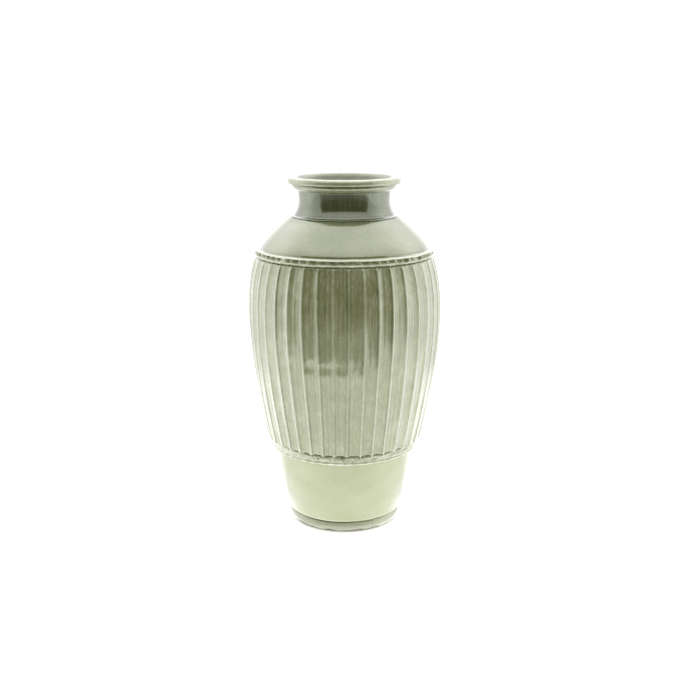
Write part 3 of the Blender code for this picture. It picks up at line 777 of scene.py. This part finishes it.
def step_shape(phi, r, z):
    """The step's skin: thin glaze at its foot, and darker under the lip as painted shade."""
    r = r + 0.07 * MM * drift(phi, z, 91, 6, 20 * MM)
    # Darker towards the top, under the lip: painted shade.
    pool_and_shading = 0.55 + 0.25 * ease(STEP_TOP - 2 * MM, STEP_TOP, z)
    pool_and_shading = pool_and_shading - 0.3 * hump(z, STEP_BOTTOM + 0.8 * MM, 0.8 * MM)
    return phi, r, z, pool_and_shading + 0.10 * drift(phi, z, 92, 40, 12 * MM), 0.0


def lip_step():
    """The smaller ring under the lip."""
    inside = neck_radius(STEP_BOTTOM) - SINK
    outline = [
        (inside, STEP_BOTTOM - 0.1 * MM, 0.0),
        (inside + 1.8 * MM, STEP_BOTTOM - 0.1 * MM, 1.0 * MM),
        (STEP_RADIUS - 1.7 * MM, blend(STEP_BOTTOM, STEP_TOP, 0.18), 2.6 * MM),
        (STEP_RADIUS, blend(STEP_BOTTOM, STEP_TOP, 0.75), 1.4 * MM),
        (STEP_RADIUS - 0.3 * MM, STEP_TOP, 0.5 * MM),
        (STEP_RADIUS - 4.0 * MM, STEP_TOP, 0.0),
    ]
    material = glaze("step_glaze", (0.60, 0.62, 0.40), (0.46, 0.48, 0.25), (0.12, 0.14, 0.05))
    turned("lip_step", outline, PLAIN_SEGMENTS, step_shape, material, step=0.5 * MM)


def lip_shape(phi, r, z):
    """The lip's skin: slightly uneven, pale along its crest, darker underneath and where it turns inwards.
    """
    r = r + 0.10 * MM * drift(phi, z, 95, 4, 30 * MM)
    crest = ease(LIP_TOP - 2.2 * MM, LIP_TOP - 0.4 * MM, z)
    z = z + 0.12 * MM * crest * drift(phi, z, 96, 4, 60 * MM) - 0.10 * MM * crest
    under = 1.0 - ease(LIP_BOTTOM + 0.2 * MM, LIP_BOTTOM + 1.6 * MM, z)
    inner = 1.0 - ease(LIP_RADIUS - 8.6 * MM, LIP_RADIUS - 6.6 * MM, r)
    # The crest is pale from thin glaze and a painted highlight; the underside is darker as painted shade.
    pool_and_shading = 0.48 - 0.46 * crest + 0.5 * under + 0.05 * drift(phi, z, 97, 12, 20 * MM)
    return phi, r, z, blend(pool_and_shading, 0.95, inner), 0.0


def lip():
    """The rolled lip, hollowed inside towards the mouth."""
    roll = 4.6 * MM
    mouth = LIP_RADIUS - 14.2 * MM
    outline = [(mouth, LIP_BOTTOM, 0.0), (STEP_RADIUS - 0.2 * MM, LIP_BOTTOM, 0.3 * MM)]
    outline += arc(LIP_RADIUS - roll, LIP_TOP - roll, roll, -44, 112, 24)
    outline += [
        (mouth + 4.6 * MM, LIP_TOP - 1.2 * MM, 1.0 * MM),
        (mouth + 2.0 * MM, LIP_TOP - 3.4 * MM, 1.2 * MM),
    ]
    material = glaze("lip_glaze", (0.88, 0.90, 0.68), (0.45, 0.48, 0.27), (0.14, 0.16, 0.07))
    turned("lip", outline, PLAIN_SEGMENTS, lip_shape, material, step=0.5 * MM)


def liner_shape(phi, r, z):
    """The lining's skin, with faint throwing rings."""
    rings = 0.05 * MM * np.sin(TURN * z / (5 * MM))
    pool_and_shading = 0.35 + 0.08 * drift(phi, z, 99, 6, 40 * MM)
    return phi, r + rings, z, pool_and_shading, 0.0


def liner_glaze():
    """The glaze that lines the pot from the mouth to the floor."""
    skin = 0.8 * MM
    bore = NECK_RADIUS - 15.3 * MM
    wall = [
        (0.0, LINER_BOTTOM, 0.0),
        (46.7 * MM, LINER_BOTTOM, 3 * MM),
        (54.6 * MM, LINER_BOTTOM + 3 * MM, 3 * MM),
    ]
    wall += along(lower_radius, 2 * LINER_BOTTOM, LOWER_TOP, 10 * MM, WALL + 0.3 * MM)
    wall += along(belly_radius, LOWER_TOP + 10 * MM, BELLY_TOP, 12 * MM, WALL + 2.1 * MM)
    wall += along(shoulder_radius, BELLY_TOP + 5 * MM, NECK_BOTTOM - 7 * MM, 6 * MM, WALL + 0.3 * MM)
    wall += [
        (bore, NECK_BOTTOM - 3.8 * MM, 2 * MM),
        (bore, WAIST, 3 * MM),
        (bore + 1.6 * MM, STEP_BOTTOM, 1.5 * MM),
        (LIP_RADIUS - 15.1 * MM, NECK_TOP, 0.0),
    ]
    outline = list(wall)
    for r, z, cut in reversed(wall):
        on_floor = z < LINER_BOTTOM + 4 * MM
        outline.append((max(0.0, r - skin), z + (skin if on_floor else 0.0), cut))
    material = glaze("liner_glaze", (0.50, 0.51, 0.42), (0.34, 0.35, 0.26), (0.16, 0.17, 0.11))
    turned("liner_glaze", outline, PLAIN_SEGMENTS // 2, liner_shape, material, step=3 * MM)


# Stage

SOFT_LIGHT = 1.0                # the tent's light on the clay
MIRRORED_LIGHT = 3.3            # the tent as the glaze mirrors it, beside and above the vase
MIRRORED_BEHIND = 1.5           # and behind it
BACKDROP = 1.2                  # the tent as the camera sees it directly
OPENING_AZIMUTH = math.radians(59)  # half the width of the dark opening
OPENING_TOP = math.radians(31)  # how high above the horizon it reaches
NEAR_OPENING = 0.59             # the tent is dimmer next to the opening
DARK = 0.03                     # light left in the opening
TABLE_REACH = 20.0
TABLE_EDGE = -0.48              # y of the table's front edge straight before the vase
TABLE_SLANT = 0.14              # how far that edge runs askew
EDGE_BLUR = 0.02                # softness of the table's edge, in metres, and the opening's, in radians
PAPER = (2.4, 2.4, 2.4, 1.0)    # overexposed, as in the photograph
CAMERA_PLACE = (6.4 * MM, -1.1507, 0.4824)
CAMERA_TILT = math.radians(13.78)  # how far it looks down


def from_front(nodes, x, y):
    """Angle of a direction from the front, either way round."""
    return nodes.maths("ABSOLUTE", nodes.maths("ARCTAN2", x, nodes.maths("MULTIPLY", y, -1.0)))


def table_light(nodes, x, y):
    """1 on the lit table, and a gloom past its front edge, within the width of the opening."""
    slant = nodes.maths("MULTIPLY", x, TABLE_SLANT)
    uneven = nodes.maths("MULTIPLY", nodes.noise(9.0), 0.05)
    reach = nodes.maths("ADD", nodes.maths("ADD", y, slant), uneven)
    lit = nodes.fit(reach, TABLE_EDGE - EDGE_BLUR, TABLE_EDGE + EDGE_BLUR, 0.0, 1.0)
    side = from_front(nodes, x, y)
    beside = nodes.fit(side, OPENING_AZIMUTH - EDGE_BLUR, OPENING_AZIMUTH + EDGE_BLUR, 0.0, 1.0)
    dim = nodes.fit(side, OPENING_AZIMUTH, OPENING_AZIMUTH + 0.9, NEAR_OPENING, 1.0)
    lit = nodes.maths("MAXIMUM", lit, nodes.maths("MULTIPLY", beside, dim))
    gloom = nodes.fit(y, -1.6, -0.55, DARK, 0.30)
    return nodes.maths("MAXIMUM", lit, gloom)


def table_mirrored(nodes, y, distance):
    """How bright the glaze mirrors the table: dimmer behind the vase and in its contact shade."""
    behind = nodes.maths("DIVIDE", y, distance)
    mirror = nodes.fit(behind, 0.1, 0.7, MIRRORED_LIGHT, MIRRORED_BEHIND)
    mirror = nodes.blend(nodes.fit(distance, 0.25, 0.6, 0.0, 1.0), MIRRORED_LIGHT, mirror)
    dip = nodes.fit(distance, 0.45, 0.8, 0.0, 0.14)
    dip = nodes.maths("MULTIPLY", dip, nodes.fit(distance, 1.0, 2.2, 1.0, 0.0))
    dip = nodes.maths("MULTIPLY", dip, nodes.fit(behind, 0.0, 0.4, 0.0, 1.0))
    mirror = nodes.maths("MULTIPLY", mirror, nodes.rest(dip))
    near = nodes.fit(distance, 0.10, 0.45, 0.62, 0.0)
    shade = nodes.maths("MULTIPLY", near, nodes.fit(y, -0.09, 0.03, 0.0, 1.0))
    return nodes.maths("MULTIPLY", mirror, nodes.rest(shade))


def floor():
    """A pale table. The camera sees white paper, and the glaze mirrors its light and its front edge."""
    corners = [(x * TABLE_REACH, y * TABLE_REACH, 0) for x, y in ((-1, -1), (1, -1), (1, 1), (-1, 1))]
    mesh = bpy.data.meshes.new("floor")
    mesh.from_pydata(corners, [], [(0, 1, 2, 3)])
    material = bpy.data.materials.new("table_paper")
    nodes = Nodes(material)
    rays = nodes.add("ShaderNodeLightPath").outputs
    place = nodes.add("ShaderNodeNewGeometry").outputs["Position"]
    x, y, z = nodes.add("ShaderNodeSeparateXYZ", _0=place).outputs[:3]
    distance = nodes.add("ShaderNodeVectorMath", {"operation": "LENGTH"}, _0=place).outputs["Value"]
    glow = nodes.blend(rays["Is Glossy Ray"], SOFT_LIGHT, table_mirrored(nodes, y, distance))
    glow = nodes.maths("MULTIPLY", table_light(nodes, x, y), glow)
    light = nodes.add("ShaderNodeEmission", _1=glow).outputs[0]
    paper = nodes.add("ShaderNodeBsdfDiffuse", _0=PAPER).outputs[0]
    seen = nodes.add("ShaderNodeMixShader", _0=rays["Is Camera Ray"], _1=light, _2=paper).outputs[0]
    nodes.feed(nodes.tree.nodes["Material Output"].inputs["Surface"], seen)
    mesh.materials.append(material)
    piece = bpy.data.objects.new("floor", mesh)
    bpy.context.scene.collection.objects.link(piece)


def light_tent():
    """An even white tent all round, with a dark opening on the camera's side."""
    world = bpy.data.worlds.new("tent")
    bpy.context.scene.world = world
    nodes = Nodes(world)
    world.cycles.sampling_method = "NONE"
    direction = nodes.add("ShaderNodeTexCoord").outputs["Generated"]
    x, y, z = nodes.add("ShaderNodeSeparateXYZ", _0=direction).outputs[:3]
    azimuth = from_front(nodes, x, y)
    elevation = nodes.maths("ARCSINE", z)
    beside = nodes.fit(azimuth, OPENING_AZIMUTH - EDGE_BLUR, OPENING_AZIMUTH + EDGE_BLUR, 1.0, 0.0)
    below = nodes.fit(elevation, OPENING_TOP - 0.03, OPENING_TOP + 0.03, 1.0, 0.0)
    opening = nodes.maths("MULTIPLY", beside, below)
    behind = nodes.maths("SUBTRACT", y, nodes.fit(elevation, 0.2, 0.7, 0.0, 0.32))
    mirror = nodes.fit(behind, 0.1, 0.7, MIRRORED_LIGHT, MIRRORED_BEHIND)
    rays = nodes.add("ShaderNodeLightPath").outputs
    bright = nodes.blend(rays["Is Glossy Ray"], SOFT_LIGHT, mirror)
    sideways = nodes.fit(azimuth, OPENING_AZIMUTH, OPENING_AZIMUTH + 0.9, NEAR_OPENING, 1.0)
    upwards = nodes.fit(elevation, OPENING_TOP + 0.05, OPENING_TOP + 0.5, NEAR_OPENING, 1.0)
    bright = nodes.maths("MULTIPLY", bright, nodes.maths("MAXIMUM", sideways, upwards))
    tent = nodes.maths("MULTIPLY", bright, nodes.fit(opening, 0.0, 1.0, 1.0, DARK))
    strength = nodes.maths("MAXIMUM", tent, nodes.maths("MULTIPLY", rays["Is Camera Ray"], BACKDROP))
    background = nodes.tree.nodes["Background"].inputs
    nodes.feed(background["Color"], (1.0, 1.0, 1.0, 1.0))
    nodes.feed(background["Strength"], strength)


def camera():
    """The photograph's viewpoint."""
    data = bpy.data.cameras.new("camera")
    data.sensor_width = 36.0
    data.lens = 52.5
    view = bpy.data.objects.new("camera", data)
    view.location = CAMERA_PLACE
    view.rotation_euler = (math.radians(90.0) - CAMERA_TILT, 0.0, 0.0)
    bpy.context.scene.collection.objects.link(view)
    bpy.context.scene.camera = view


def build():
    """All pieces from the foot up, then the stage. Shoulder and bead share one glaze."""
    thin, body, deep = (0.66, 0.69, 0.48), (0.325, 0.35, 0.185), (0.10, 0.125, 0.05)
    shoulder_glaze = glaze("shoulder_glaze", thin, body, deep, mottle=0.06)
    foot_ring()
    lower_body()
    lower_band()
    fluted_body()
    upper_band()
    shoulder(shoulder_glaze)
    neck_ring(shoulder_glaze)
    neck()
    lip_step()
    lip()
    liner_glaze()
    floor()
    light_tent()
    camera()
    bpy.context.scene.view_settings.view_transform = "Standard"
    bpy.context.scene.view_settings.look = "None"


build()
